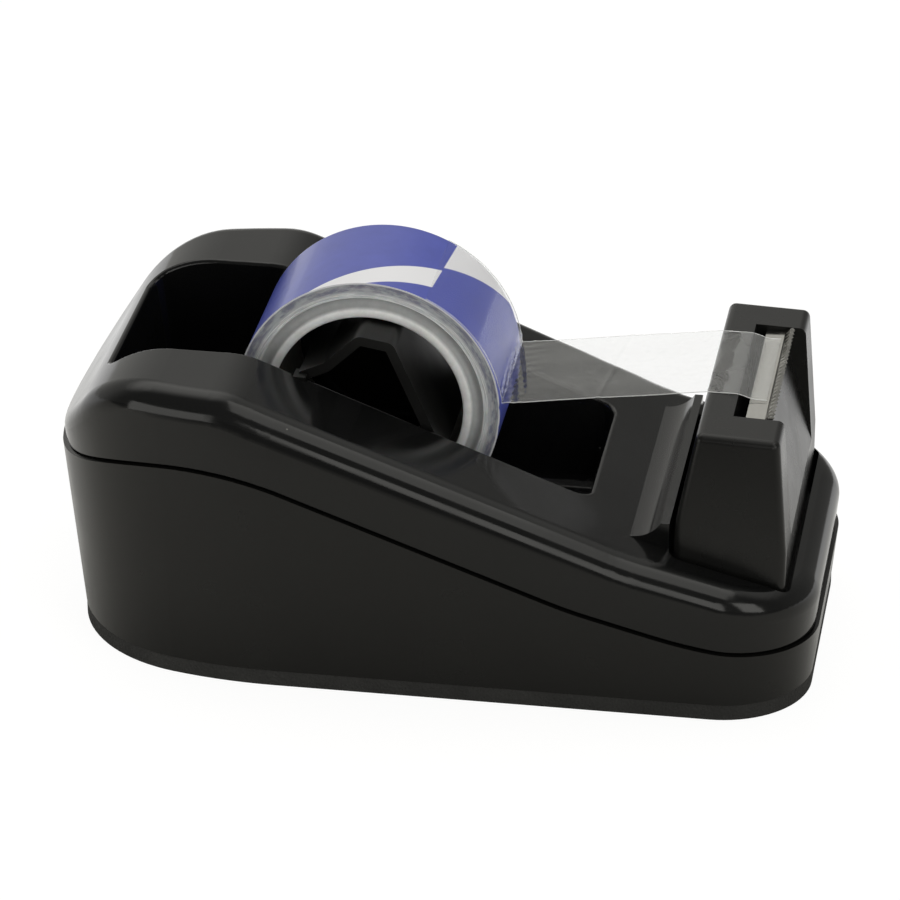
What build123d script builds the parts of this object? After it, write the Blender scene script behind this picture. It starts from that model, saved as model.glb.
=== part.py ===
"""Weighted desktop tape dispenser with a tape roll on a lift-out saddle and a toothed cutter tower.

Millimetres, +Z up, +X towards the cutter. The origin lies under the middle of the housing,
on the surface that the dispenser stands on.
"""
import os
from math import atan, cos, degrees, radians, sin, tan

from build123d import *

# Housing
LENGTH = 103.7             # over the widest part of the lower shell
BASE_HALF_WIDTH = 25.9     # at the underside
LEAN = 5.6                 # degrees that the walls lean outwards on their way up
WALL = 2.2
REAR_HEIGHT = 42.8
DECK_HEIGHT = 22.55        # where the slope runs into the deck
DECK_ANGLE = 14.4          # degrees below level
HUMP_LENGTH = 27.2         # from the rear end to the start of the slope
DECK_LENGTH = 24.3         # from the end of the slope to the front end
REAR_TURN_HEIGHT = 27.5    # where the rear face starts to lean forward
REAR_TURN = 6.0            # radius of that turn
REAR_TOP_SETBACK = 10.4    # from the rear end to the top of the leaning face
REAR_TOP_ROUND = 13.5
SLOPE_ROUND = 12.0
DECK_ROUND = 40.0
RIM_ROUND = 3.4            # along the top edge of the cover

# Plan outline
SIDE_BOW = 60.0            # radius of the side where it starts to turn in
SIDE_BOW_TURN = 13.5       # degrees
REAR_BOW = 40.0
REAR_BOW_TURN = 13.0
FRONT_CORNER = 12.2

# Parting line between the two shells
PARTING_DEPTH = 10.6       # below the slope of the cover
PARTING_REAR = 25.8        # height at the rear wall
PARTING_CREST = 6.45       # the line starts to fall again this far behind the start of the slope
PARTING_CREST_ROUND = 35.0
PARTING_FRONT = 9.1        # height at the front wall
PARTING_LEVEL = 15.0       # length of the nearly level stretch at the front
PARTING_FALL = 1.1         # how far that stretch falls
PARTING_ROUND = 60.0
PARTING_GAP = 0.35
COVER_SETBACK = 0.5        # how far the lower shell stands proud of the cover
LIP_DEPTH = 2.4
LIP_ROOT = 1.5
LIP_WALL = 1.1
FIT = 0.15                 # clearance between parts that slide into each other

# Pad and ballast
PAD = 2.2
PAD_PROUD = 0.15
BALLAST_HEIGHT = 5.0
BALLAST_INSET = 4.5
BALLAST_ROUND = 1.0

# Well for the roll
WELL_HALF_WIDTH = 14.0
WELL_REAR_SETBACK = 8.35   # from the rear end, at the level of the top
WELL_FRONT_SETBACK = 6.45  # from the end of the slope
WELL_FLOOR = 12.6
WELL_CORNER = 2.2
WELL_FOOT_ROUND = 1.8
REAR_DRAFT = 7.0           # degrees
SIDE_DRAFT = 1.0
TUB_WALL = 1.8
MOUTH_ROUND = 0.5

# Tape roll
TAPE_WIDTH = 19.0
CORE_BORE = 25.4
CORE_WALL = 2.9
CORE_LIP = 0.7
CORE_LIP_RISE = 0.25
CORE_CHAMFER = 0.3
WINDING = 1.7
SLEEVE = 0.35
ROLL_SETBACK = 15.15       # from the start of the slope to the roll axis
ROLL_HEIGHT = 33.5
ROLL_SIDE_GAP = 2.95       # to the side wall that the roll has drifted towards

# Saddle that the core hangs on
BEARING_GAP = 0.2
SADDLE_END_GAP = 0.5
SADDLE_WALL = 1.3
SADDLE_CREST = 20.0        # degrees round the roll axis between the two bearing corners
SADDLE_CREST_MIDDLE = 81.0
SADDLE_CREST_ROUND = 0.9
SADDLE_SHOULDER_PLACE = (-4.55, 7.7)  # forward of and above the roll axis, as the next two
SADDLE_FOOT_PLACE = (-7.95, 6.2)
SADDLE_LEG_END_PLACE = (10.55, -4.0)
SADDLE_WEB = 1.2
SADDLE_WEB_INSET = 4.0
LUG_REACH = 1.3
LUG_WIDTH = 1.7
LUG_HEIGHT = 1.1
LEDGE_DEPTH = 1.8
LEDGE_LENGTH = 4.0

# Cutter tower and its pocket
TOWER_HALF_WIDTH = 20.9
TOWER_CHEEK = 6.7
TOWER_SETBACK = 4.15       # from the front end to its foot
TOWER_DEPTH = 14.75        # at its foot
TOWER_REAR_LEAN = 2.65     # how far its rear face leans forward
TOWER_FRONT_LEAN = 1.3     # how far its front face leans back
TOWER_HEIGHT = 38.8        # at the rear edge of its top
TOWER_TOP_FALL = 0.4       # how far its top falls towards the front
TOWER_WAIST = 25.0         # height where the rear face starts to lean forward
TOWER_FACE_FOOT = 22.0     # height where the front face meets the level of the deck
TOWER_WALL = 2.2
TOWER_ROUND = 1.0
TOWER_BEND = 30.0
TOWER_CORE_TOP = 25.5
POCKET_GAP = 0.7
POCKET_FLOOR = 13.6
POCKET_WALL = 2.0
POCKET_CORNER = 2.0
LANDING = 4.1
BLADE_SLOT = 2.0
BLADE_SLOT_DEPTH = 9.0
RECESS_SETBACK = 2.9

# Ramp behind the tower
RAMP_LENGTH = 5.0
RAMP_RISE = 3.3
RAMP_LIP = 1.1
RAMP_HALF_WIDTH = 19.4

# Blade
BLADE_THICKNESS = 0.5
BLADE_DROP = 0.5           # land below the top of the tower
BLADE_LAND = 2.0
BLADE_TONGUE = 5.0
TOOTH_COUNT = 25
TOOTH_LENGTH = 1.35
TOOTH_RISE = 42.0          # degrees

# Strip drawn from the roll to the blade
STRIP = 0.2
STRIP_GAP = 0.15
STRIP_HOLD_TURN = 64.0     # degrees round the roll where the loose wrap still lies on it
STRIP_PEEL_TURN = 5.0
STRIP_PEEL_LIFT = 0.4

# Screws
SCREW = 2.6
SCREW_HEAD = 4.8
SCREW_HEAD_HEIGHT = 1.6
SCREW_LENGTH = 9.0
SCREW_DRIVE = 2.4
SCREW_DRIVE_WIDTH = 0.6
SCREW_DRIVE_DEPTH = 0.9
BOSS = 7.6
BOSS_HEIGHT = 3.0
POST = 6.0
POST_SPREAD = 4.2          # outside the side walls of the well
REAR_POST_SETBACK = 4.4    # behind the start of the slope
FRONT_POST_SETBACK = 1.4   # behind the end of the slope
TOWER_SCREW_SETBACK = 8.0  # in front of the tower's rear face
TOWER_SCREW_INSET = 3.5    # from the tower's side face

REAR_END = -LENGTH / 2
FRONT_END = LENGTH / 2
SLOPE_START = REAR_END + HUMP_LENGTH
DECK_START = FRONT_END - DECK_LENGTH
SLOPE_FALL = (REAR_HEIGHT - DECK_HEIGHT) / (DECK_START - SLOPE_START)
WELL_REAR = REAR_END + WELL_REAR_SETBACK
WELL_FRONT = DECK_START - WELL_FRONT_SETBACK
ROLL_CENTRE = (SLOPE_START + ROLL_SETBACK, WELL_HALF_WIDTH - ROLL_SIDE_GAP - TAPE_WIDTH / 2, ROLL_HEIGHT)
SADDLE_HALF_LENGTH = WELL_HALF_WIDTH - SADDLE_END_GAP
SADDLE_SHOULDER, SADDLE_FOOT, SADDLE_LEG_END = [
    (ROLL_CENTRE[0] + forward, ROLL_HEIGHT + up)
    for forward, up in (SADDLE_SHOULDER_PLACE, SADDLE_FOOT_PLACE, SADDLE_LEG_END_PLACE)]
TOWER_FRONT = FRONT_END - TOWER_SETBACK
TOWER_REAR = TOWER_FRONT - TOWER_DEPTH
TOWER_TOP_REAR = (TOWER_REAR + TOWER_REAR_LEAN, TOWER_HEIGHT)
TOWER_TOP_FRONT = (TOWER_FRONT - TOWER_FRONT_LEAN, TOWER_HEIGHT - TOWER_TOP_FALL)
POST_PLACES = [(x, side * (WELL_HALF_WIDTH + POST_SPREAD)) for side in (-1, 1)
               for x in (SLOPE_START - REAR_POST_SETBACK, DECK_START - FRONT_POST_SETBACK)]
TOWER_SCREW_PLACES = [(TOWER_REAR + TOWER_SCREW_SETBACK, side * (TOWER_HALF_WIDTH - TOWER_SCREW_INSET))
                      for side in (-1, 1)]

CORE_RADIUS = CORE_BORE / 2
WINDING_INNER = CORE_RADIUS + CORE_WALL
SLEEVE_INNER = WINDING_INNER + WINDING
ROLL_RADIUS = SLEEVE_INNER + SLEEVE
FLOOR_TOP = PAD + WALL
SKY = REAR_HEIGHT + WALL   # above everything that the housing has
SLOT_REAR = TOWER_TOP_REAR[0] + LANDING
POCKET_UNDERSIDE = POCKET_FLOOR - POCKET_WALL
UPWARDS = (Align.CENTER, Align.CENTER, Align.MIN)


def across(face, half_width, middle=0.0):
    """Solid of a side profile, reaching half_width to each side of middle."""
    return Pos(0, middle, 0) * extrude(Plane.XZ * face, amount=half_width, both=True)


def block(x_span, y_span, z_span):
    """Box between three pairs of limits."""
    size = [high - low for low, high in (x_span, y_span, z_span)]
    centre = [(high + low) / 2 for low, high in (x_span, y_span, z_span)]
    return Pos(*centre) * Box(*size)


def both_sides(solid):
    return solid + mirror(solid, about=Plane.XZ)


def under_level():
    """Slab that reaches from well below the housing up to level zero."""
    return block((-LENGTH, LENGTH), (-LENGTH, LENGTH), (-SKY, 0))


# ---------------------------------------------------------------- outer form
def slope_height(x):
    return REAR_HEIGHT - (x - SLOPE_START) * SLOPE_FALL


def deck_height(x):
    return DECK_HEIGHT - (x - DECK_START) * tan(radians(DECK_ANGLE))


def plan_outline(inset=0.0):
    """Outline of the housing at the underside: straight sides, bowed and rounded rear end."""
    half = BASE_HALF_WIDTH - inset
    rear = REAR_END + tan(radians(LEAN)) * PARTING_REAR + inset
    front = FRONT_END - tan(radians(LEAN)) * PARTING_FRONT - inset
    side, bow, nose = SIDE_BOW - inset, REAR_BOW - inset, FRONT_CORNER - inset
    a, b = radians(SIDE_BOW_TURN), radians(REAR_BOW_TURN)
    corner = (half - side * (1 - cos(a)) - bow * sin(b)) / (cos(a) - sin(b))
    bow_centre = Vector(rear + bow, 0)
    corner_centre = bow_centre + Vector(-cos(b), sin(b)) * (bow - corner)
    side_centre = corner_centre + Vector(sin(a), -cos(a)) * (side - corner)
    flank = [
        CenterArc((front - nose, half - nose), nose, 0, 90),
        Line((front - nose, half), (side_centre.X, half)),
        CenterArc(side_centre, side, 90, SIDE_BOW_TURN),
        CenterArc(corner_centre, corner, 90 + SIDE_BOW_TURN, 90 - SIDE_BOW_TURN - REAR_BOW_TURN),
    ]
    ends = [
        Line((front, nose - half), (front, half - nose)),
        CenterArc(bow_centre, bow, 180 - REAR_BOW_TURN, 2 * REAR_BOW_TURN),
    ]
    return make_face(flank + ends + [mirror(edge, about=Plane.XZ) for edge in flank])


def leaning_block(inset=0.0):
    """Solid inside the leaning outer walls, from the underside to above the top."""
    return extrude(plan_outline(inset), amount=SKY, taper=-LEAN)


def under_line(points, rounds, inset=0.0):
    """Solid of everything at least inset below a rounded line in the side view, right through."""
    edge = FilletPolyline(*points, radius=rounds)
    (start, _), (end, _) = points[0], points[-1]
    floor = Polyline(points[-1], (end, -SKY), (start, -SKY), points[0])
    face = make_face([*edge.edges(), *floor.edges()])
    return across(offset(face, -inset, kind=Kind.INTERSECTION) if inset else face, LENGTH)


def under_top(inset):
    """Everything at least inset below the top of the cover."""
    points = [(REAR_END, 0), (REAR_END, REAR_TURN_HEIGHT), (REAR_END + REAR_TOP_SETBACK, REAR_HEIGHT),
              (SLOPE_START, REAR_HEIGHT), (DECK_START, DECK_HEIGHT), (LENGTH, deck_height(LENGTH))]
    return under_line(points, (REAR_TURN, REAR_TOP_ROUND, SLOPE_ROUND, DECK_ROUND), inset)


def under_parting(lift=0.0):
    """Everything under the parting line, raised by lift."""
    crest = SLOPE_START - PARTING_CREST
    crest_height = slope_height(crest) - PARTING_DEPTH
    rise = (crest_height - PARTING_REAR) / (crest - REAR_END)
    slope_angle = degrees(atan(SLOPE_FALL))
    fall_end = DECK_START - PARTING_DEPTH * tan(radians(slope_angle + DECK_ANGLE))
    knee = FRONT_END - PARTING_LEVEL
    fall = PARTING_FALL / PARTING_LEVEL
    points = [(-LENGTH, PARTING_REAR - rise * (LENGTH + REAR_END)), (crest, crest_height),
              (fall_end, slope_height(fall_end) - PARTING_DEPTH), (knee, PARTING_FRONT + PARTING_FALL),
              (LENGTH, PARTING_FRONT - fall * (LENGTH - FRONT_END))]
    return Pos(0, 0, lift) * under_line(points, (PARTING_CREST_ROUND, PARTING_ROUND, PARTING_ROUND))


def rounded_form(inset, edge_round):
    """The cover's form with its top edge rounded, set in for the inner face."""
    form = leaning_block(COVER_SETBACK + inset) & under_top(inset)
    creases = form.edges().filter_by(Axis.Y).filter_by_position(Axis.X, -LENGTH, FRONT_END - FRONT_CORNER)
    rim = [edge for edge in form.edges() - creases if edge.bounding_box().min.Z > PARTING_FRONT]
    return fillet(rim, edge_round)


# ---------------------------------------------------------------- well, pocket and ramp
def well_space(grow=0.0):
    """The drafted well for the roll, or with grow the outside of the tub round it."""
    def section(height):
        rear = WELL_REAR + (REAR_HEIGHT - height) * tan(radians(REAR_DRAFT)) - grow
        shrink = (REAR_HEIGHT - height) * tan(radians(SIDE_DRAFT)) - grow
        length, width = WELL_FRONT - shrink - rear, 2 * (WELL_HALF_WIDTH - shrink)
        return Pos(rear + length / 2, 0, height) * RectangleRounded(length, width, WELL_CORNER + grow)

    space = loft([section(SKY), section(WELL_FLOOR - grow)], ruled=True)
    foot = space.faces().sort_by(Axis.Z)[0].edges()
    return fillet(foot, WELL_FOOT_ROUND + grow)


def pocket_space():
    """The pocket that the tower stands in."""
    middle, length = (TOWER_REAR + TOWER_FRONT) / 2, TOWER_DEPTH + 2 * POCKET_GAP
    outline = Pos(middle, 0, POCKET_FLOOR) * RectangleRounded(
        length, 2 * (TOWER_HALF_WIDTH + POCKET_GAP), POCKET_CORNER)
    return extrude(outline, amount=SKY)


def ramp():
    """Concave ramp up to a square lip just behind the tower."""
    lip_front = TOWER_REAR - POCKET_GAP
    lip_rear = lip_front - RAMP_LIP
    start = lip_rear - RAMP_LENGTH
    top = deck_height(lip_rear) + RAMP_RISE
    foot = (start, deck_height(start))
    curl = TangentArc(foot, (lip_rear, top), tangent=(cos(radians(DECK_ANGLE)), -sin(radians(DECK_ANGLE))))
    rest = Polyline((lip_rear, top), (lip_front, top), (lip_front, deck_height(lip_front) - WALL),
                    (start, foot[1] - WALL), foot)
    return across(make_face([curl, *rest.edges()]), RAMP_HALF_WIDTH)


def saddle_notch(clearance=0.0):
    """Notch in the upper inner edge of one cheek of the well for the saddle's lug."""
    x, z = SADDLE_FOOT
    half = LUG_WIDTH / 2 + clearance
    y_span = (WELL_HALF_WIDTH - LEDGE_DEPTH, SADDLE_HALF_LENGTH + LUG_REACH + clearance)
    return block((x - half, x + half), y_span, (z - SADDLE_WALL / 2 - clearance, SKY))


def saddle_ledge():
    """Upright rib on one side wall of the well that the saddle's long leg stands on."""
    x, z = SADDLE_LEG_END
    x_span = (x - LEDGE_LENGTH / 2, x + LEDGE_LENGTH / 2)
    y_span = (WELL_HALF_WIDTH - LEDGE_DEPTH, WELL_HALF_WIDTH + TUB_WALL / 2)
    return block(x_span, y_span, (WELL_FLOOR - TUB_WALL / 2, z))


def open_form():
    """The cover's outer form with the well cut out and its mouth rounded."""
    form = rounded_form(0.0, RIM_ROUND) - well_space()
    return fillet([edge for edge in form.edges() if on_mouth(edge)], MOUTH_ROUND)


def top_cover():
    """Upper shell with the well, the tower's pocket, the ramp, the locating lip and screw posts."""
    form = open_form()
    room = leaning_block(WALL + FIT)
    skin = form - rounded_form(WALL, RIM_ROUND - WALL) - under_parting(PARTING_GAP)
    lip = room - leaning_block(WALL + FIT + LIP_WALL)
    lip = lip & (under_parting(LIP_ROOT) - under_parting(-LIP_DEPTH))
    above_bosses = room - Pos(0, 0, FLOOR_TOP + BOSS_HEIGHT) * under_level()
    posts = [Pos(x, y, 0) * Cylinder(POST / 2, SKY, align=UPWARDS) & above_bosses for x, y in POST_PLACES]
    pocket_rear = TOWER_REAR - POCKET_GAP - POCKET_WALL
    pocket = block((pocket_rear, LENGTH), (-LENGTH, LENGTH), (POCKET_UNDERSIDE, SKY))
    inside = [lip, well_space(TUB_WALL) & room, pocket & room, *posts]
    cover = skin
    for feature in inside:
        cover = cover + (feature & form)
    cover = cover + ramp() - pocket_space()
    cover = cover + both_sides(saddle_ledge()) - both_sides(saddle_notch(FIT))
    for x, y in POST_PLACES:
        cover = cover - screw_hole(x, y, PAD)
    for x, y in TOWER_SCREW_PLACES:
        cover = cover - screw_hole(x, y, POCKET_UNDERSIDE - SCREW_HEAD_HEIGHT)
    return cover


def on_mouth(edge):
    """True for an edge round the upper opening of the well."""
    box = edge.bounding_box()
    inside = box.min.X > WELL_REAR - WELL_CORNER and box.max.X < WELL_FRONT + WELL_CORNER
    inside = inside and max(-box.min.Y, box.max.Y) < WELL_HALF_WIDTH + WELL_CORNER
    return inside and box.min.Z > slope_height(WELL_FRONT) - WALL and box.max.Z < SKY


def screw_hole(x, y, head_bottom, clearance=FIT / 2):
    """Room for a screw whose head starts at head_bottom, pointing up."""
    shank = Cylinder(SCREW / 2 + clearance, SCREW_LENGTH + SCREW_HEAD_HEIGHT + 2 * clearance, align=UPWARDS)
    head = Cylinder(SCREW_HEAD / 2 + 2 * clearance, SCREW_HEAD_HEIGHT, align=UPWARDS)
    return Pos(x, y, head_bottom) * (shank + head)


def screw(x, y, head_bottom):
    """Pan-head self-tapping screw with a crossed drive, pointing up."""
    body = screw_hole(x, y, head_bottom, 0.0)
    slot = Box(SCREW_DRIVE, SCREW_DRIVE_WIDTH, SCREW_DRIVE_DEPTH * 2)
    return body - Pos(x, y, head_bottom) * (slot + Rot(0, 0, 90) * slot)


# ---------------------------------------------------------------- lower shell, pad and ballast
def lower_shell():
    """Base tray with leaning walls, a floor and four screw bosses."""
    shell = leaning_block() & under_parting()
    shell = shell - Pos(0, 0, PAD) * under_level()
    hollow = leaning_block(WALL) - Pos(0, 0, FLOOR_TOP) * under_level()
    shell = shell - hollow
    for x, y in POST_PLACES:
        boss = Pos(x, y, PAD) * Cylinder(BOSS / 2, WALL + BOSS_HEIGHT, align=UPWARDS)
        shell = shell + (boss & leaning_block(WALL / 2)) - screw_hole(x, y, PAD)
    return shell


def non_slip_pad():
    return extrude(plan_outline(-PAD_PROUD), amount=PAD)


def ballast_weight():
    """Cast plate that lies on the floor of the lower shell, cut away round the bosses."""
    plate = Pos(0, 0, FLOOR_TOP) * extrude(plan_outline(BALLAST_INSET), amount=BALLAST_HEIGHT)
    plate = chamfer(plate.faces().sort_by(Axis.Z)[-1].edges(), BALLAST_ROUND)
    for x, y in POST_PLACES:
        plate = plate - Pos(x, y, FLOOR_TOP) * Cylinder(BOSS / 2 + WALL / 2, SKY)
    return plate


# ---------------------------------------------------------------- cutter tower and blade
def tower_face(height):
    """Distance along the housing of the tower's front face at a height."""
    (top_x, top_z), foot_x, foot_z = TOWER_TOP_FRONT, TOWER_FRONT, TOWER_FACE_FOOT
    return foot_x + (top_x - foot_x) * (height - foot_z) / (top_z - foot_z)


def cutter_tower():
    """Two cheeks with a landing bar and a blade seat between them, hollow below."""
    side = FilletPolyline((TOWER_REAR, POCKET_FLOOR), (TOWER_REAR, TOWER_WAIST), TOWER_TOP_REAR,
                          radius=TOWER_BEND)
    rest = Polyline(TOWER_TOP_REAR, TOWER_TOP_FRONT, (TOWER_FRONT, TOWER_FACE_FOOT),
                    (TOWER_FRONT, POCKET_FLOOR), (TOWER_REAR, POCKET_FLOOR))
    tower = across(make_face([*side.edges(), *rest.edges()]), TOWER_HALF_WIDTH)
    boxes = [(edge, edge.bounding_box()) for edge in tower.edges()]
    tower = fillet([edge for edge, box in boxes if box.max.Z > TOWER_FACE_FOOT or box.size.Z > TOWER_WALL],
                   TOWER_ROUND)
    inner = TOWER_HALF_WIDTH - TOWER_CHEEK
    slot_rear = SLOT_REAR
    seat_rear = slot_rear + BLADE_SLOT
    seat_top = TOWER_TOP_FRONT[1] - BLADE_DROP - BLADE_THICKNESS
    slot = block((slot_rear, seat_rear), (-inner, inner), (TOWER_TOP_REAR[1] - BLADE_SLOT_DEPTH, SKY))
    seat = block((slot_rear, LENGTH), (-inner, inner), (seat_top, SKY))
    recess = across(make_face(Polyline(
        (tower_face(seat_top) - RECESS_SETBACK, seat_top), (TOWER_FRONT, TOWER_FACE_FOOT),
        (LENGTH, TOWER_FACE_FOOT), (LENGTH, seat_top), close=True)), inner)
    hollow = block((TOWER_REAR + TOWER_WALL, TOWER_FRONT - TOWER_WALL),
                   (TOWER_WALL - TOWER_HALF_WIDTH, TOWER_HALF_WIDTH - TOWER_WALL), (0, TOWER_CORE_TOP))
    tower = tower - slot - seat - recess - hollow
    for x, y in TOWER_SCREW_PLACES:
        boss = Pos(x, y, POCKET_FLOOR) * Cylinder(POST / 2, TOWER_CORE_TOP - POCKET_FLOOR,
                                                  align=UPWARDS)
        tower = tower + boss - screw_hole(x, y, POCKET_UNDERSIDE - SCREW_HEAD_HEIGHT)
    return tower


def cutter_blade():
    """Bent steel strip: tongue in the slot, land on the seat and a row of raised teeth."""
    half = TOWER_HALF_WIDTH - TOWER_CHEEK - FIT
    rear = SLOT_REAR + BLADE_SLOT
    top = TOWER_TOP_FRONT[1] - BLADE_DROP
    land = block((rear - BLADE_THICKNESS, rear + BLADE_LAND), (-half, half), (top - BLADE_THICKNESS, top))
    tongue = block((rear - BLADE_THICKNESS, rear), (-half, half), (top - BLADE_TONGUE, top))
    pitch = 2 * half / TOOTH_COUNT
    tips = [(-half, 0)]
    for tooth in range(TOOTH_COUNT):
        valley = -half + tooth * pitch
        tips += [(valley + pitch / 2, TOOTH_LENGTH), (valley + pitch, 0)]
    root = -BLADE_THICKNESS * tan(radians(TOOTH_RISE / 2))
    outline = Polyline(*tips, (half, root), (-half, root), close=True)
    plane = Plane(origin=(rear + BLADE_LAND, 0, top), x_dir=(0, 1, 0),
                  z_dir=(sin(radians(TOOTH_RISE)), 0, -cos(radians(TOOTH_RISE))))
    teeth = extrude(plane * make_face(outline), amount=BLADE_THICKNESS)
    return land + tongue + teeth


# ---------------------------------------------------------------- saddle
def roll_point(turn, radius):
    """Point of the side view at a turn round the roll axis, in degrees above the front."""
    return (ROLL_CENTRE[0] + radius * cos(radians(turn)), ROLL_CENTRE[2] + radius * sin(radians(turn)))


def roll_saddle():
    """Bridge across the well that the core hangs on, webbed inside near both ends."""
    reach = CORE_RADIUS - BEARING_GAP - SADDLE_WALL / 2
    crest = [roll_point(SADDLE_CREST_MIDDLE + SADDLE_CREST / 2, reach),
             roll_point(SADDLE_CREST_MIDDLE - SADDLE_CREST / 2, reach)]
    run = FilletPolyline(SADDLE_FOOT, SADDLE_SHOULDER, *crest, SADDLE_LEG_END, radius=SADDLE_CREST_ROUND)
    bridge = across(trace(run, SADDLE_WALL), SADDLE_HALF_LENGTH)
    leg = [crest[1][i] + (SADDLE_LEG_END[i] - crest[1][i]) / 2 for i in (0, 1)]
    web = across(make_face(Polyline(SADDLE_SHOULDER, *crest, leg, close=True)), SADDLE_WEB / 2)
    lug = saddle_notch() & block((-LENGTH, LENGTH), (SADDLE_HALF_LENGTH - SADDLE_WALL, LENGTH),
                                 (0, SADDLE_FOOT[1] - SADDLE_WALL / 2 + LUG_HEIGHT))
    saddle = bridge + both_sides(Pos(0, SADDLE_HALF_LENGTH - SADDLE_WEB_INSET, 0) * web) + both_sides(lug)
    return saddle - Pos(0, 0, SADDLE_LEG_END[1]) * under_level()


# ---------------------------------------------------------------- roll and strip
def ring(outer, inner, width):
    """Ring round the roll axis."""
    face = Circle(outer) - Circle(inner)
    solid = extrude(Plane.XZ * face, amount=width / 2, both=True)
    return Pos(*ROLL_CENTRE) * solid


def tape_core():
    """Plastic core with a raised inner lip on both faces."""
    body = ring(WINDING_INNER, CORE_RADIUS, TAPE_WIDTH)
    body = body + ring(CORE_RADIUS + CORE_LIP, CORE_RADIUS, TAPE_WIDTH + 2 * CORE_LIP_RISE)
    return body


def tape_strip():
    """Loose end of the last wrap, the free span and the stretch that lies on the tower."""
    lie = ROLL_RADIUS + STRIP_GAP + STRIP / 2
    middle = (STRIP_HOLD_TURN + STRIP_PEEL_TURN) / 2
    wrap = ThreePointArc(roll_point(STRIP_HOLD_TURN, lie), roll_point(middle, lie + STRIP_PEEL_LIFT / 3),
                         roll_point(STRIP_PEEL_TURN, lie + STRIP_PEEL_LIFT))
    up = STRIP_GAP + STRIP / 2
    land = TOWER_TOP_FRONT[1] - BLADE_DROP + up
    seat = SLOT_REAR + BLADE_SLOT
    span = Polyline(roll_point(STRIP_PEEL_TURN, lie + STRIP_PEEL_LIFT),
                    (TOWER_TOP_REAR[0], TOWER_TOP_REAR[1] + up), (SLOT_REAR, TOWER_TOP_REAR[1] + up),
                    (seat, land), (seat + BLADE_LAND, land))
    return across(trace([wrap, *span.edges()], STRIP), TAPE_WIDTH / 2, ROLL_CENTRE[1])


NODES = {
    "top_cover": top_cover,
    "lower_shell": lower_shell,
    "non_slip_pad": non_slip_pad,
    "ballast_weight": ballast_weight,
    "cutter_tower": cutter_tower,
    "cutter_blade": cutter_blade,
    "roll_saddle": roll_saddle,
    "tape_core": tape_core,
    "tape_winding": lambda: ring(SLEEVE_INNER, WINDING_INNER, TAPE_WIDTH),
    "label_sleeve": lambda: ring(ROLL_RADIUS, SLEEVE_INNER, TAPE_WIDTH),
    "tape_strip": tape_strip,
    "housing_screws": lambda: Compound(children=[screw(x, y, PAD) for x, y in POST_PLACES]),
    "tower_screws": lambda: Compound(children=[
        screw(x, y, POCKET_UNDERSIDE - SCREW_HEAD_HEIGHT) for x, y in TOWER_SCREW_PLACES]),
}

os.makedirs("parts", exist_ok=True)
for name, build in NODES.items():
    export_step(build(), f"parts/{name}.step")
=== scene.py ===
"""Weighted desk tape dispenser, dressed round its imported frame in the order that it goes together."""

import bpy
import numpy as np
from mathutils import Matrix, Vector


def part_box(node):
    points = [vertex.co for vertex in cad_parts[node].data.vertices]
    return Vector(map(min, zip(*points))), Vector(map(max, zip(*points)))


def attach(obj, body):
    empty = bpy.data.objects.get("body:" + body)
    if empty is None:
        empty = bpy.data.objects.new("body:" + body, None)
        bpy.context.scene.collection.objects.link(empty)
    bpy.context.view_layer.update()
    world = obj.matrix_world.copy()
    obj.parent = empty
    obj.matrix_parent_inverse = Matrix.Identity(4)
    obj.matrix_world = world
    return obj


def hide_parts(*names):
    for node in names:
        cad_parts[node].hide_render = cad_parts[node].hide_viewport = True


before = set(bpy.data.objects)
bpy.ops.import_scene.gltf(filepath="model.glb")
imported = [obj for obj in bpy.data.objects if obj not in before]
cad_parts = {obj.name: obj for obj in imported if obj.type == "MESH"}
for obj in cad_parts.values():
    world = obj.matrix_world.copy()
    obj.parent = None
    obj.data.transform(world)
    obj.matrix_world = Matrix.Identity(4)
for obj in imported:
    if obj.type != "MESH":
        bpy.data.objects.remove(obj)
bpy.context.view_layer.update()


# ---------------------------------------------------------------- the table and the room
# The dispenser stands on white paper against a white wall, and dark cloth covers the table in front.
# One large soft box hangs overhead, a narrow one stands in front on the right, one at the
# right-hand side, and a small one lies low in front on the left, as in a small product studio.
def plug(socket, value):
    """Gives a socket a constant, or links another node's output to it."""
    if isinstance(value, bpy.types.NodeSocket):
        socket.id_data.links.new(value, socket)
    else:
        socket.default_value = value


def node(tree, kind, sockets=None, **settings):
    """New node of a kind. A socket takes a constant or another node's output."""
    made = tree.nodes.new("ShaderNode" + kind)
    for name, value in settings.items():
        setattr(made, name, value)
    for name, value in (sockets or {}).items():
        plug(made.inputs[name], value)
    return made


def maths(tree, operation, *values):
    """Output of a maths node on constants or outputs."""
    return node(tree, "Math", dict(enumerate(values)), operation=operation).outputs[0]


def ramp(tree, value, low, high, start=0.0, end=1.0, soft=False):
    """Output that goes from start, where the value is low, to end, where it is high, and stays
    there beyond them. It is a straight line, or an S where soft is set."""
    sockets = {"Value": value, "From Min": low, "From Max": high, "To Min": start, "To Max": end}
    return node(tree, "MapRange", sockets, interpolation_type="SMOOTHSTEP" if soft else "LINEAR").outputs[0]


def blend(tree, share, first, second, way="MIX"):
    """Output that goes from the first colour to the second as the share goes from 0 to 1."""
    mix = node(tree, "MixRGB", {"Fac": share}, blend_type=way)
    for name, colour in (("Color1", first), ("Color2", second)):
        plug(mix.inputs[name], colour if isinstance(colour, bpy.types.NodeSocket) else (*colour, 1))
    return mix.outputs[0]


def layered(tree, share, under, over):
    """Output of one shader that goes over to another as the share goes from 0 to 1."""
    return node(tree, "MixShader", {0: share, 1: under, 2: over}).outputs[0]


def own_place(tree):
    """Output for the place on a piece in its own coordinates, in metres."""
    return node(tree, "TexCoord").outputs["Object"]


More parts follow.
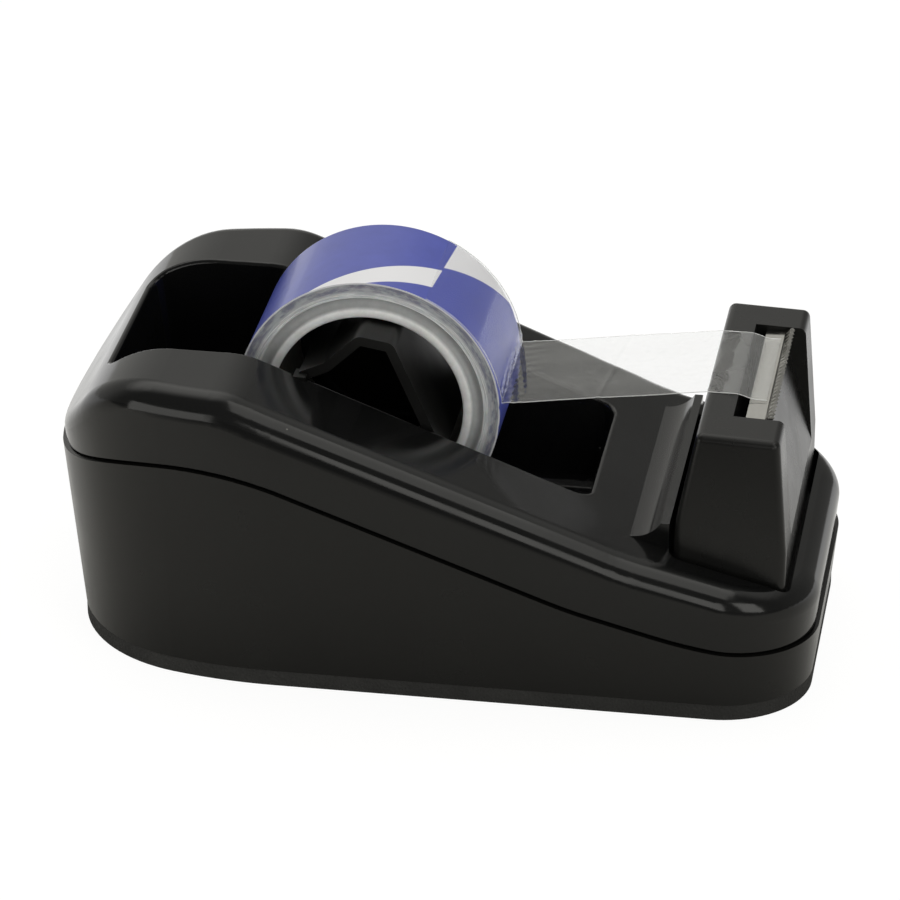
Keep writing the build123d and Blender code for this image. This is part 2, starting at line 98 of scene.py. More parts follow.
def straight_rays(tree):
    """1 for rays from the camera, and for those that have only passed through clear film."""
    path = node(tree, "LightPath").outputs
    unreflected = maths(tree, "LESS_THAN", path["Glossy Depth"], 0.5)
    through = maths(tree, "MULTIPLY", path["Is Transmission Ray"], unreflected)
    return maths(tree, "MAXIMUM", path["Is Camera Ray"], through)


def feed(shader, **sockets):
    """Plugs a shader's sockets, named as base_color for Base Color."""
    for name, value in sockets.items():
        plug(shader.inputs[name.replace("_", " ").title().replace("Ior", "IOR")], value)


def material(name, **sockets):
    """New material, its tree and its Principled shader, with constants for the sockets named."""
    made = bpy.data.materials.new(name)
    made.use_nodes = True
    shader = made.node_tree.nodes["Principled BSDF"]
    feed(shader, **sockets)
    return made, made.node_tree, shader


TABLE_HALF = 3.0
TABLE_WHITE = (0.74, 0.73, 0.70)
CLOTH_DARK = (0.12, 0.12, 0.12)
CLOTH_EDGE = (-0.115, -0.07)   # y where the cloth goes over to paper
TABLE_GLOW = 1.12              # a little over plain white, so that only the shadow shows on the table
TABLE_SEEN_WHITE = 0.82        # share of that glow that the camera sees on paper, so that shadows stay
                               # faint, with all of it seen on the cloth
TABLE_BACK_WHITE = 0.85        # the same for reflections, behind the dispenser only
TABLE_BACK = (-0.02, 0.1)      # y where that share begins and is reached

table_mesh = bpy.data.meshes.new("table")
corners = TABLE_HALF * np.array([(-1, -1, 0), (1, -1, 0), (1, 1, 0), (-1, 1, 0)])
table_mesh.from_pydata(corners.tolist(), [], [(0, 1, 2, 3)])
table = bpy.data.objects.new("table", table_mesh)
bpy.context.scene.collection.objects.link(table)

table_paper, tree, shader = material("table_paper", roughness=0.9)
depth = node(tree, "SeparateXYZ", {"Vector": own_place(tree)}).outputs["Y"]
paper = ramp(tree, depth, *CLOTH_EDGE)
feed(shader, base_color=blend(tree, paper, CLOTH_DARK, TABLE_WHITE))
seen = maths(tree, "MULTIPLY", straight_rays(tree), ramp(tree, paper, 0, 1, 1, TABLE_SEEN_WHITE))
behind = ramp(tree, depth, *TABLE_BACK, 0, TABLE_BACK_WHITE)
reflected = maths(tree, "MULTIPLY", node(tree, "LightPath").outputs["Is Glossy Ray"], behind)
glow = node(tree, "Emission", {"Color": (1, 1, 1, 1), "Strength": TABLE_GLOW}).outputs[0]
lit = layered(tree, maths(tree, "MAXIMUM", seen, reflected), shader.outputs[0], glow)
plug(tree.nodes["Material Output"].inputs["Surface"], lit)
table_mesh.materials.append(table_paper)

WALL_LOW, WALL_HIGH = 0.60, 2.0  # behind the dispenser, at table height and towards the ceiling
WALL_RISE = (0.5, 0.8)         # how far up a direction points where the wall begins and ends to brighten
WARM_WHITE = (1.0, 0.99, 0.94)
ROOM_DIM = 0.2                 # on the side that the camera stands
ROOM_TURN = (-0.25, 0.3)       # how far back it points where the room begins and ends to brighten
RIGHT_SHARE = 0.45             # how bright the right-hand side is beside the left
RIGHT_TURN = (-0.18, 0.25)     # how far right it points where that begins and is reached

room = bpy.data.worlds.new("room")
bpy.context.scene.world = room
room.use_nodes = True
tree = room.node_tree
towards = node(tree, "SeparateXYZ", {"Vector": node(tree, "TexCoord").outputs["Generated"]}).outputs
wall = ramp(tree, towards["Z"], *WALL_RISE, WALL_LOW, WALL_HIGH, soft=True)
right = ramp(tree, towards["X"], *RIGHT_TURN, 1, RIGHT_SHARE, soft=True)
around = ramp(tree, towards["Y"], *ROOM_TURN, ROOM_DIM, maths(tree, "MULTIPLY", wall, right), soft=True)
straight = straight_rays(tree)
feed(tree.nodes["Background"], strength=maths(tree, "MAXIMUM", around, straight),
     color=blend(tree, straight, WARM_WHITE, (1, 1, 1)))

SOFT_BOXES = {                 # place, width and height, power
    "soft_box_over": ((0.27, -0.25, 0.88), (0.42, 0.80), 1.8),
    "soft_box_front": ((0.20, -0.93, 0.20), (0.23, 0.40), 0.7),
    "soft_box_side": ((0.64, -0.54, 0.30), (0.36, 0.50), 1.55),
    "soft_box_low": ((-0.115, -0.124, 0.028), (0.105, 0.085), 0.052),
}
SIDEWAYS = 0.6                 # how far to the side a box has to stand for its width to lie level

for name, (place, size, power) in SOFT_BOXES.items():
    lamp = bpy.data.lights.new(name, "AREA")
    lamp.shape = "RECTANGLE"
    lamp.size, lamp.size_y = size
    lamp.energy = power
    lamp.color = WARM_WHITE
    box = bpy.data.objects.new(name, lamp)
    away = Vector(place).normalized()
    broad = (Vector((1, 0, 0)) - away.x * away).normalized()
    if abs(away.x) > SIDEWAYS:
        broad = Vector((-away.y, away.x, 0)).normalized()
    facing = Matrix((broad, away.cross(broad), away)).transposed().to_4x4()
    box.matrix_world = Matrix.Translation(place) @ facing
    box.visible_camera = False
    bpy.context.scene.collection.objects.link(box)

CAMERA_TURN, CAMERA_RISE = np.radians(9.12), np.radians(26.67)
CAMERA_DISTANCE = 0.6731
CAMERA_AIM = Vector((0.00022, 0, 0.02355))

camera = bpy.data.objects.new("camera", bpy.data.cameras.new("camera"))
bpy.context.scene.collection.objects.link(camera)
level = np.cos(CAMERA_RISE)
outward = Vector((np.sin(CAMERA_TURN) * level, -np.cos(CAMERA_TURN) * level, np.sin(CAMERA_RISE)))
camera.location = CAMERA_AIM + CAMERA_DISTANCE * outward
camera.rotation_euler = outward.to_track_quat("Z", "Y").to_euler()
camera.data.lens = 200
camera.data.sensor_width = 36
bpy.context.scene.camera = camera
bpy.context.scene.view_settings.view_transform = "Standard"


# ---------------------------------------------------------------- lower shell
# Tray of black ABS, injection moulded in a lightly polished mould, so its walls shine softly and
# carry the faint unevenness of a thick moulding.
def noise(tree, place, scale, detail, rough=0.5):
    """Output of noise at a place, with about scale lumps to each unit of the place."""
    sockets = {"Vector": place, "Scale": scale, "Detail": detail, "Roughness": rough}
    return node(tree, "TexNoise", sockets).outputs["Fac"]


def lift(tree, shader, height, strength, distance):
    """Lifts the skin of a piece by the height, from 0 to 1, times a distance in metres."""
    bump = node(tree, "Bump", {"Height": height, "Strength": strength, "Distance": distance})
    feed(shader, normal=bump.outputs[0])


def dress(name, finish):
    """Gives a frame node its finish."""
    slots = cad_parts[name].data.materials
    slots.clear()
    slots.append(finish)


DUST_GREY = (0.16, 0.16, 0.15)
DUST_DULL = 0.7
DUST_SIZE = 0.055              # as a share of a cell


def moulded(name, colour, gloss, spread, ripple, ior, dust=0.0):
    """Moulded plastic: noise at 9 mm moves the gloss, noise at 0.3 mm and 5 mm lifts the skin,
    and the middles of a few 2 mm Voronoi cells are specks of dust."""
    finish, tree, shader = material(name, ior=ior)
    place = own_place(tree)
    cloud = noise(tree, place, 110, 3)
    gloss_map = ramp(tree, cloud, 0.3, 0.7, gloss - spread, gloss + spread)
    cells = node(tree, "TexVoronoi", {"Vector": place, "Scale": 480})
    near = maths(tree, "LESS_THAN", cells.outputs["Distance"], DUST_SIZE)
    chance = node(tree, "SeparateColor", {"Color": cells.outputs["Color"]}).outputs["Red"]
    speck = maths(tree, "MULTIPLY", near, maths(tree, "LESS_THAN", chance, dust))
    tint = blend(tree, cloud, colour, [1.5 * c for c in colour])
    feed(shader, base_color=blend(tree, speck, tint, DUST_GREY),
         roughness=maths(tree, "MAXIMUM", gloss_map, maths(tree, "MULTIPLY", speck, DUST_DULL)))
    grain = maths(tree, "MULTIPLY", noise(tree, place, 3200, 2), 0.12)
    lift(tree, shader, maths(tree, "ADD", grain, noise(tree, place, 190, 1)), 1.0, ripple)
    return finish


BASE_BLACK = (0.0042, 0.0042, 0.0040)

finish = moulded("base_plastic", BASE_BLACK, gloss=0.24, spread=0.05, ripple=0.000012, ior=1.37)
dress("lower_shell", finish)


# ---------------------------------------------------------------- foam pad
# Sheet of black closed-cell foam, cut to the outline of the shell and glued underneath so that
# the dispenser doesn't slide. Its cut edge shows small open cells.
FOAM_BLACK, FOAM_LIGHT = (0.014, 0.014, 0.014), (0.031, 0.031, 0.030)

finish, tree, shader = material("pad_foam", roughness=0.85, ior=1.4)
place = own_place(tree)
feed(shader, base_color=blend(tree, noise(tree, place, 240, 3), FOAM_BLACK, FOAM_LIGHT))
pores = node(tree, "TexVoronoi", {"Vector": place, "Scale": 2600}, feature="SMOOTH_F1").outputs["Distance"]
lift(tree, shader, pores, 0.9, 0.00018)
dress("non_slip_pad", finish)


# ---------------------------------------------------------------- ballast
# Flat casting of grey iron that lies loose on the shell's floor. It keeps the skin that the sand
# mould gave it, with a little rust in the hollows.
IRON_GREY, IRON_RUST = (0.10, 0.10, 0.10), (0.12, 0.05, 0.025)

finish, tree, shader = material("cast_weight", roughness=0.6, metallic=0.8)
place = own_place(tree)
rust = ramp(tree, noise(tree, place, 150, 4), 0.58, 0.7)
feed(shader, base_color=blend(tree, rust, IRON_GREY, IRON_RUST))
lift(tree, shader, noise(tree, place, 1500, 4), 0.8, 0.0002)
dress("ballast_weight", finish)


# ---------------------------------------------------------------- screws
# Six steel self-tapping screws from below, four through the lower shell and two through the
# pocket into the tower. They are zinc plated, and the plating has clouded in patches.
ZINC = (0.58, 0.59, 0.60)

finish, tree, shader = material("zinc_steel", metallic=1.0)
haze = noise(tree, own_place(tree), 900, 3)
feed(shader, base_color=blend(tree, haze, ZINC, [0.7 * c for c in ZINC]),
     roughness=ramp(tree, haze, 0, 1, 0.2, 0.5))
dress("housing_screws", finish)
dress("tower_screws", finish)


# ---------------------------------------------------------------- top cover
# Upper shell of the same black ABS from a highly polished mould, screwed to the lower one from
# below. It is glossier than the base, and its open top has gathered a few specks of dust.
COVER_BLACK = (0.0040, 0.0041, 0.0042)

finish = moulded("cover_plastic", COVER_BLACK, gloss=0.13, spread=0.04, ripple=0.000008, ior=1.38, dust=0.05)
dress("top_cover", finish)


# ---------------------------------------------------------------- cutter tower
# Separate black moulding with a softer shine. It stands in the cover's pocket and carries the
# landing bar for the tape and the seat for the blade.
TOWER_BLACK = (0.0052, 0.0052, 0.0050)

finish = moulded("tower_plastic", TOWER_BLACK, gloss=0.28, spread=0.05, ripple=0.000010, ior=1.37, dust=0.03)
dress("cutter_tower", finish)


# ---------------------------------------------------------------- cutter blade
# Stainless strip, stamped with teeth and bent, pushed down into the slot behind its seat.
# Rolling has left fine lines along it, and handling a few dull marks.
STEEL = (0.62, 0.61, 0.58)

finish, tree, shader = material("blade_steel", metallic=1.0)
place = own_place(tree)
drawn_out = node(tree, "Mapping", {"Vector": place, "Scale": (5200, 130, 5200)}).outputs[0]
lines = noise(tree, drawn_out, 1, 3)
marks = noise(tree, place, 420, 4)
feed(shader, base_color=blend(tree, lines, [0.86 * c for c in STEEL], STEEL),
     roughness=ramp(tree, marks, 0.35, 0.7, 0.13, 0.21))
lift(tree, shader, lines, 0.4, 0.000005)
dress("cutter_blade", finish)


# ---------------------------------------------------------------- roll saddle
# Folded bridge of black plastic that lies across the well with its lugs in two notches. The
# core hangs on its crest. It is the dullest of the mouldings, with a few specks of dust.
SADDLE_BLACK = (0.0042, 0.0042, 0.0041)

finish = moulded("saddle_plastic", SADDLE_BLACK, gloss=0.36, spread=0.08, ripple=0.000016, ior=1.38,
                 dust=0.02)
dress("roll_saddle", finish)


# ---------------------------------------------------------------- tape core
# Moulded ring of pale grey polystyrene that the film is wound on. Both faces have a lip round the bore,
# painted white as a highlight, and a hollow between the lip and the film, whose outer rim gets the
# same white. The bore is painted dark, as painted shade where the saddle keeps the light out.
MM = 0.001


def skin(name, grid, ring=False):
    """Mesh of a grid of points [i, j]: each quad joins i, i+1, j and j+1, j closes on itself, and
    i closes too when ring is set, or gets a flat cap at each end. The faces are turned over where
    the sum of corner a . (b x c) + a . (c x d), which has the sign of the volume, is negative."""
    count, loop = grid.shape[:2]
    i, j = np.meshgrid(np.arange(count if ring else count - 1), np.arange(loop), indexing="ij")
    ahead, beside = (i + 1) % count, (j + 1) % loop
    quads = np.stack([i * loop + j, i * loop + beside, ahead * loop + beside, ahead * loop + j], -1)
    points, faces = grid.reshape(-1, 3), quads.reshape(-1, 4)
    a, b, c, d = (points[faces[:, k]] for k in range(4))
    volume = np.sum(a * np.cross(b, c)) + np.sum(a * np.cross(c, d))
    caps = [] if ring else [list(range(loop))[::-1], list(range((count - 1) * loop, count * loop))]
    faces = faces.tolist() + caps
    if volume < 0:
        faces = [face[::-1] for face in faces]
    made = bpy.data.meshes.new(name)
    made.from_pydata(points.tolist(), [], faces)
    made.polygons.foreach_set("use_smooth", np.ones(len(faces), bool))
    made.set_sharp_from_angle(angle=np.radians(38))
    obj = bpy.data.objects.new(name, made)
    bpy.context.scene.collection.objects.link(obj)
    return obj


def turned(radius, across, turns):
    """Points of a profile carried round the roll axis: the middle plus (radius cos turn, across,
    radius sin turn). Radius and across are one row for all turns, or a row for each."""
    radius, across, turn = np.broadcast_arrays(radius, across, turns[:, None])
    return ROLL_MIDDLE + MM * np.stack([radius * np.cos(turn), across, radius * np.sin(turn)], -1)


def roll_place(tree):
    """Outputs for the turn round the roll axis in radians, the distance from it and the distance
    along it, both in millimetres: atan2(z, x), the root of x x + z z, and y from the roll's middle."""
    centred = node(tree, "Mapping", {"Vector": own_place(tree), "Location": tuple(-ROLL_MIDDLE / MM),
                                     "Scale": (1 / MM,) * 3}).outputs[0]
    part = node(tree, "SeparateXYZ", {"Vector": centred}).outputs
    turn = maths(tree, "ARCTAN2", part["Z"], part["X"])
    flat = node(tree, "CombineXYZ", {"X": part["X"], "Z": part["Z"]}).outputs[0]
    radius = node(tree, "VectorMath", {0: flat}, operation="LENGTH").outputs["Value"]
    return turn, radius, part["Y"]


core_low, core_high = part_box("tape_core")
ROLL_MIDDLE = np.array((core_low + core_high) / 2)
TURNS = np.linspace(0, 2 * np.pi, 480, endpoint=False)
CORE_FACE = np.array([         # radius and distance from the middle, from the bore to the film
    (12.70, 9.20), (12.72, 9.55), (12.82, 9.68), (13.05, 9.75), (13.40, 9.75), (13.72, 9.70),
    (13.88, 9.55), (13.98, 9.25), (14.15, 8.95), (14.45, 8.74), (14.80, 8.68), (15.12, 8.80),
    (15.34, 9.05), (15.45, 9.35), (15.52, 9.48), (15.60, 9.40), (15.60, 9.00)])
BORE_EDGE = (12.71, 12.78)     # radius where the bore goes over to the lip
LIP_EDGE = (13.75, 14.1)       # radius where the lip goes over to the hollow
RIM_EDGE = (15.2, 15.5)        # radius where the hollow goes over to the outer rim
# The lighter colour here is a painted highlight for the lip round the bore, and the outer rim gets it too.
CORE_GREY, CORE_HIGHLIGHT_WHITE = (0.47, 0.48, 0.49), (0.92, 0.93, 0.94)
# The bore's colour is painted shade: the inside of the core is darkened where little light gets in past the
# saddle.
BORE_SHADE = (0.060, 0.059, 0.054)

profile = np.concatenate([CORE_FACE * (1, -1), CORE_FACE[::-1]])
core = skin("core_ring", turned(profile[:, 0], profile[:, 1], TURNS), ring=True)

finish, tree, shader = material("core_plastic", ior=1.45, subsurface_weight=0.08, subsurface_scale=0.0008)
_, radius, _ = roll_place(tree)
grime = noise(tree, own_place(tree), 700, 5, 0.65)
# Masks for the painted highlight on the lip and the same white on the outer rim.
lip_highlight = ramp(tree, radius, *LIP_EDGE, 1, 0, soft=True)
rim = ramp(tree, radius, *RIM_EDGE, soft=True)
plain = blend(tree, maths(tree, "MAXIMUM", lip_highlight, rim), CORE_GREY, CORE_HIGHLIGHT_WHITE)
stained = blend(tree, 1.0, plain, ramp(tree, grime, 0.35, 0.75, 1, 0.84), "MULTIPLY")
# Mask for the painted shade in the bore.
bore_shade = ramp(tree, radius, *BORE_EDGE, 1, 0)
feed(shader, base_color=blend(tree, bore_shade, stained, BORE_SHADE), roughness=ramp(tree, grime, 0, 1, 0.3, 0.6))
lift(tree, shader, grime, 0.4, 0.00005)
core.data.materials.append(finish)
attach(core, "roll")
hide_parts("tape_core")


# ---------------------------------------------------------------- tape winding
# About thirty turns of clear film, wound tight on the core. Seen from the side their edges are
# milky, with turns that stand a little in or out and dull streaks where the glue has crept.
WINDING_INNER, WINDING_OUTER = 15.6, 17.3
FILM_HALF = 9.5
FILM_RINGS = 22                # places across the winding where an edge is worked out
FILM_STEP = 0.10               # the most that an edge stands back


def wound_edge(radius, turns, seed):
    """How far each turn's edge stands back: for each ring, a steady share plus two sine waves
    round the roll with the ring's own phases, scaled to FILM_STEP."""
    draw = np.random.default_rng(seed)
    steady, one, two = draw.random((3, radius.size))
    wave = np.sin(turns[:, None] + 6.3 * one) + np.sin(3 * turns[:, None] + 6.3 * two)
    return FILM_STEP * (0.55 * steady + 0.11 * (wave + 2))


rings = np.linspace(WINDING_INNER, WINDING_OUTER, FILM_RINGS)
near_edge = wound_edge(rings, TURNS, 3) - FILM_HALF
far_edge = FILM_HALF - wound_edge(rings, TURNS, 8)
there_and_back = np.concatenate([rings, rings[::-1]])
both_edges = np.concatenate([near_edge, far_edge[:, ::-1]], 1)
winding = skin("film_winding", turned(there_and_back, both_edges, TURNS), ring=True)

FILM_PALE, FILM_CLOUD, FILM_BLUE = (0.88, 0.89, 0.90), (0.48, 0.50, 0.53), (0.25, 0.255, 0.33)
GLUE_EDGE = (16.35, 16.75)     # radius where the edges turn from milky to bluish


def film_edges(tree, shader, turn, radius):
    """Output for the colour of the film's edges, whose skin it also lifts. Noise on (turn, radius),
    stretched along the turn, makes streaks from cloudy to pale, and outside GLUE_EDGE a second
    one makes blotches from blue-grey to cloudy, with a border that wanders."""
    streak_place = node(tree, "CombineXYZ", {"X": maths(tree, "MULTIPLY", turn, 3.0),
                                             "Y": maths(tree, "MULTIPLY", radius, 4.2)}).outputs[0]
    streak = noise(tree, streak_place, 1.6, 5, 0.7)
    blotch_place = node(tree, "CombineXYZ", {"X": maths(tree, "MULTIPLY", turn, 6.0), "Y": radius}).outputs[0]
    blotch = noise(tree, blotch_place, 1.3, 4, 0.6)
    inner = blend(tree, ramp(tree, streak, 0.38, 0.62), FILM_CLOUD, FILM_PALE)
    outer = blend(tree, ramp(tree, blotch, 0.42, 0.60), FILM_BLUE, FILM_CLOUD)
    wander = maths(tree, "MULTIPLY_ADD", blotch, 0.5, radius)
    lift(tree, shader, streak, 0.7, 0.00006)
    return blend(tree, ramp(tree, wander, *GLUE_EDGE), inner, outer)


finish, tree, shader = material("wound_film", ior=1.45, roughness=0.38, subsurface_weight=0.15,
                                subsurface_scale=0.0008)
turn, radius, _ = roll_place(tree)
feed(shader, base_color=film_edges(tree, shader, turn, radius))
winding.data.materials.append(finish)
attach(winding, "roll")
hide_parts("tape_winding")


# ---------------------------------------------------------------- label sleeve
# Outer turns of film, printed inside with plain blue and white bands that change over at a seam
# across the roll. The film is glossy and slightly slack, and puckers where it was handled.
SLEEVE_INNER, SLEEVE_OUTER = 17.3, 17.65
PUCKER = 0.19
BACK_TURN, BACK_ACROSS = 153, -4.5  # degrees and millimetres: middle of the patch behind the top
PEEL_MIDDLE = 4                # degrees: middle of the patch where the strip peels off

columns = np.linspace(-FILM_HALF, FILM_HALF, 40)
outer_turns = np.linspace(0, 2 * np.pi, 720, endpoint=False)


def pucker(turns, across):
    """Dents of the outer film in millimetres: two sets of bent folds, each the cube of one less the
    size of a sine, kept by bell curves to a patch behind the top and one where the strip peels off."""
    turn, across = turns[:, None], across[None, :]
    back = np.exp(-((np.degrees(turn) - BACK_TURN) / 15) ** 2 - ((across - BACK_ACROSS) / 4.5) ** 2)
    peel = np.exp(-((np.degrees(np.angle(np.exp(1j * turn))) - PEEL_MIDDLE) / 13) ** 2)
    fold = (1 - np.abs(np.sin(11 * turn + 0.5 * across + 1.4 * np.sin(0.6 * across + 7 * turn)))) ** 3
    cross_fold = (1 - np.abs(np.sin(17 * turn - 0.8 * across + 1.1 * np.sin(1.1 * across)))) ** 3
    return PUCKER * (back + 0.8 * peel) * (fold + 0.6 * cross_fold) / 1.6


outer = SLEEVE_OUTER - pucker(outer_turns, columns)
inner = np.full_like(outer, SLEEVE_INNER)
sleeve_radius = np.concatenate([outer, inner[:, ::-1]], 1)
sleeve_across = np.concatenate([columns, columns[::-1]])
sleeve = skin("printed_sleeve", turned(sleeve_radius, sleeve_across, outer_turns), ring=True)

LABEL_BLUE, LABEL_WHITE = (0.086, 0.108, 0.45), (0.90, 0.90, 0.94)
SEAM_TURN, SEAM_SLANT = 61.9, -0.253  # degrees, and degrees for each millimetre across
LEFT_BAND = (0.5, -0.191)      # upper edge of the white band behind the seam: across, and per degree
LEFT_BAND_LOW = (-5.35, -0.155)  # its lower edge
RIGHT_BAND = (1.5, -0.225)     # lower edge of the white corner in front of the seam
PRINT_REPEAT = 180.0           # degrees after which the print starts again
PRINT_FACE = (17.42, 17.46)    # radius where plain film edges go over to the printed face
SIDE_FACE = (FILM_HALF - 0.04, FILM_HALF - 0.01)  # distance along the roll where its side begins
OUTER_EDGE_WHITE = 0.8         # how white the outermost turns look from the side


def beyond(tree, line, lap, across):
    """1 where across is above a slanting line that starts at the seam, 0 below it, with a soft
    edge a tenth of a millimetre wide. Lap is how far behind the seam it is, in degrees."""
    height = maths(tree, "SUBTRACT", across, maths(tree, "MULTIPLY_ADD", lap, line[1], line[0]))
    return ramp(tree, height, -0.05, 0.05)


finish, tree, shader = material("printed_film", ior=1.38, roughness=0.32, coat_weight=0.2,
                                coat_roughness=0.06)
turn, radius, across = roll_place(tree)
degree = maths(tree, "MULTIPLY", turn, 180 / np.pi)
past_seam = maths(tree, "SUBTRACT", degree, maths(tree, "MULTIPLY_ADD", across, SEAM_SLANT, SEAM_TURN))
lap = maths(tree, "WRAP", past_seam, PRINT_REPEAT / 2, -PRINT_REPEAT / 2)
below_edge = maths(tree, "SUBTRACT", 1.0, beyond(tree, LEFT_BAND, lap, across))
left_band = maths(tree, "MULTIPLY", beyond(tree, LEFT_BAND_LOW, lap, across), below_edge)
white = blend(tree, ramp(tree, lap, -0.15, 0.15), beyond(tree, RIGHT_BAND, lap, across), left_band)
ink = noise(tree, own_place(tree), 260, 4, 0.6)
blue = blend(tree, ink, [0.86 * c for c in LABEL_BLUE], [1.2 * c for c in LABEL_BLUE])
printed = blend(tree, white, blue, LABEL_WHITE)
outside = ramp(tree, radius, *PRINT_FACE)
side_face = ramp(tree, maths(tree, "ABSOLUTE", across), *SIDE_FACE)
edges = film_edges(tree, shader, turn, radius)
bright_edges = blend(tree, maths(tree, "MULTIPLY", outside, OUTER_EDGE_WHITE), edges, LABEL_WHITE)
face = maths(tree, "MULTIPLY", outside, maths(tree, "SUBTRACT", 1.0, side_face))
feed(shader, base_color=blend(tree, face, bright_edges, printed))
sleeve.data.materials.append(finish)
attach(sleeve, "roll")
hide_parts("label_sleeve")


# ---------------------------------------------------------------- tape strip
# Clear film drawn off the roll: it lies loosely on the last turns, peels off at the front, spans
# to the tower and sticks to the landing bar and the blade, with a crease where it was held.
FILM = 0.07                    # thickness
HOLD_TURN, PEEL_TURN = 64.0, 5.0  # degrees round the roll where the film lies tight and leaves it
HOLD_RADIUS, PEEL_RADIUS = 17.74, 17.98
WRAP_POINTS = 90               # between the two
RUN_STEP, BEND_REACH = 0.25, 0.6  # between the points of the span, and how far a bend is rounded
middle_x, middle_z = ROLL_MIDDLE[0] / MM, ROLL_MIDDLE[2] / MM
bar_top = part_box("cutter_tower")[1].z / MM + FILM  # of the film's middle, half a film clear of the bar
LAND_TOP = 38.15               # height of the film on the blade's land
BAR_FROM, BAR_TO, LAND_FROM = 35.6, 39.7, 41.7  # x of the landing bar's edges and of the land
strip_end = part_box("tape_strip")[1].x / MM


def along_wrap(count):
    """Side view of the loose wrap: radius going evenly from HOLD_RADIUS to PEEL_RADIUS."""
    share = np.linspace(0, 1, count)
    turn = np.radians(HOLD_TURN + share * (PEEL_TURN - HOLD_TURN))
    radius = HOLD_RADIUS + share * (PEEL_RADIUS - HOLD_RADIUS)
    return np.stack([radius * np.cos(turn), radius * np.sin(turn)], 1)


def lengths_along(points):
    """Distance along a run of points from its start to each."""
    return np.concatenate([[0], np.cumsum(np.linalg.norm(np.diff(points, axis=0), axis=1))])


def rounded_run(corners, step, reach):
    """Points every step along straight runs between corners, each then averaged with its
    neighbours within reach, so that the corners become soft bends."""
    corners = np.asarray(corners, float)
    length = lengths_along(corners)
    spots = np.arange(0, length[-1], step)
    run = np.stack([np.interp(spots, length, corners[:, k]) for k in (0, 1)], 1)
    window = 2 * int(reach / step) + 1
    padded = np.pad(run, ((window // 2, window // 2), (0, 0)), "edge")
    smooth = np.stack([np.convolve(padded[:, k], np.ones(window) / window, "valid") for k in (0, 1)], 1)
    smooth[:window // 2 + 1] = run[:window // 2 + 1]
    return smooth


wrap = along_wrap(WRAP_POINTS) + (middle_x, middle_z)
corners = [wrap[-1], (BAR_FROM, bar_top), (BAR_TO, bar_top), (LAND_FROM, LAND_TOP), (strip_end, LAND_TOP)]
side = np.concatenate([wrap[:-1], rounded_run(corners, RUN_STEP, BEND_REACH)])
forward = np.gradient(side, axis=0)
forward /= np.linalg.norm(forward, axis=1)[:, None]
upright = np.stack([-forward[:, 1], forward[:, 0]], 1)
upright *= np.sign(upright[-1, 1])
travel = lengths_along(side)
wrap_length = travel[WRAP_POINTS - 1]
ribs = np.linspace(-FILM_HALF, FILM_HALF, 40)

HELD_LENGTH = 10.5             # of the film's end, which the bar and the blade hold flat
CREASE, CREASE_FROM_ROLL = 0.09, 14.0  # its height, and how far past the roll it lies


def slack(travel, across):
    """Height of the film over its run in millimetres: a slow wave and a narrow crease over the
    span, gone where the film is held, and small puckers where it peels off."""
    s, y = travel[:, None], across[None, :]
    from_roll = s - wrap_length
    open_span = np.clip(from_roll / 3, 0, 1) * np.clip((travel[-1] - HELD_LENGTH - s) / 3, 0, 1)
    wave = 0.035 * np.sin(0.35 * s + 0.25 * y) + 0.02 * np.sin(0.8 * y)
    crease = CREASE * np.exp(-((from_roll - CREASE_FROM_ROLL - 0.12 * y) / 0.35) ** 2)
    peel = 0.09 * np.exp(-(from_roll / 3.0) ** 2) * np.sin(2.1 * y + 1.9 * s) * np.sin(1.3 * y - 2.4 * s)
    return open_span * (wave + crease) + peel


def film_ribbon(name, travel, side, upright, across, rise):
    """Closed ribbon: top points at run + (rise + half the film) along the upright, bottom points
    at rise less half the film, joined round both edges. It keeps each point's travel and across."""
    def sheet(height):
        flat = side[:, None, :] + height[:, :, None] * upright[:, None, :]
        y = np.broadcast_to(across[None, :], height.shape) + ROLL_MIDDLE[1] / MM
        return MM * np.stack([flat[..., 0], y, flat[..., 1]], -1)
    grid = np.concatenate([sheet(rise + FILM / 2), sheet(rise - FILM / 2)[:, ::-1]], 1)
    ribbon = skin(name, grid)
    lengths = np.broadcast_to(travel[:, None], (travel.size, 2 * across.size))
    widths = np.broadcast_to(np.concatenate([across, across[::-1]])[None, :], lengths.shape)
    for label, values in (("travel", lengths), ("across", widths)):
        layer = ribbon.data.attributes.new(label, "FLOAT", "POINT")
        layer.data.foreach_set("value", np.ascontiguousarray(values, np.float32).ravel())
    return ribbon


strip = film_ribbon("film_strip", travel, side, upright, ribs, slack(travel, ribs))

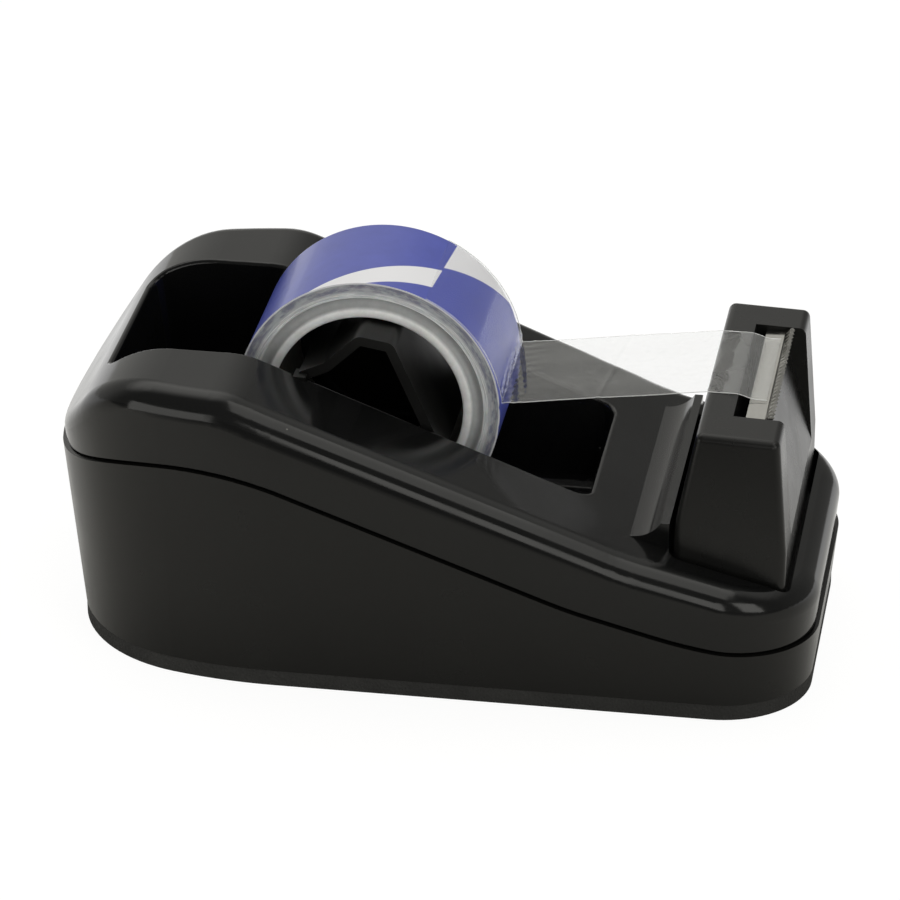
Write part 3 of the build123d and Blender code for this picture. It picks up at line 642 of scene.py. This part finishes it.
FILM_CLEAR, FILM_FROST = (0.98, 0.985, 0.985, 1), (0.85, 0.86, 0.86, 1)
FILM_THIN = (0.97, 0.97, 0.97, 1)  # where it clings so close that it only dims what is under it
BAR_LENGTH = 8.9               # of the film's end, from the bar's near edge
WET_START, WET_WANDER = -0.25, 3.2  # past that edge, where the glue begins to wet the bar
WET_WIDTH = (1.9, 2.1)         # past its start, where the wetted part begins and ends to fade out
WET_CLEAR, CLING_CLEAR = 0.75, 0.94  # share of FILM_THIN in the wetted part and on the wrap
# The film's cut edges are painted milky white, as a painted highlight along each edge.
EDGE_HIGHLIGHT_BAND = (FILM_HALF - 0.16, FILM_HALF - 0.06)  # distance from the middle line where it turns milky

finish, tree, shader = material("clear_film", base_color=FILM_CLEAR, ior=1.4, roughness=0.03,
                                transmission_weight=1.0)
lengths = node(tree, "Attribute", attribute_name="travel").outputs["Fac"]
widths = node(tree, "Attribute", attribute_name="across").outputs["Fac"]
place = own_place(tree)
bar_edge = float(travel[-1] - BAR_LENGTH)
wet_line = maths(tree, "MULTIPLY_ADD", noise(tree, place, 170, 4), WET_WANDER, bar_edge + WET_START)
past_line = maths(tree, "SUBTRACT", lengths, wet_line)
past_wet = ramp(tree, past_line, *WET_WIDTH)
wet = maths(tree, "SUBTRACT", ramp(tree, past_line, -0.1, 0.1), past_wet)
# Mask of the painted highlight along the cut edges, which the milky frost draws.
edge_highlight = ramp(tree, maths(tree, "ABSOLUTE", widths), *EDGE_HIGHLIGHT_BAND)
dull = ramp(tree, noise(tree, place, 900, 4, 0.7), 0.45, 0.8, 0.004, 0.035)
haze = maths(tree, "ADD", dull, maths(tree, "MULTIPLY", past_wet, 0.035))
haze = maths(tree, "MAXIMUM", haze, maths(tree, "MULTIPLY", edge_highlight, 0.55))
frost = node(tree, "BsdfPrincipled", {"Base Color": FILM_FROST, "Roughness": 0.5}).outputs[0]
film = layered(tree, haze, shader.outputs[0], frost)
clear = node(tree, "BsdfTransparent", {"Color": FILM_THIN}).outputs[0]
on_wrap = ramp(tree, lengths, float(wrap_length) - 2.5, float(wrap_length) + 0.5, CLING_CLEAR, 0)
clinging = maths(tree, "MAXIMUM", on_wrap, maths(tree, "MULTIPLY", wet, WET_CLEAR))
clinging = maths(tree, "MULTIPLY", clinging, maths(tree, "SUBTRACT", 1.0, edge_highlight))
film = layered(tree, clinging, film, clear)
from_lamp = node(tree, "LightPath").outputs["Is Shadow Ray"]
plug(tree.nodes["Material Output"].inputs["Surface"], layered(tree, from_lamp, film, clear))
strip.data.materials.append(finish)
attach(strip, "saddle")
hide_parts("tape_strip")
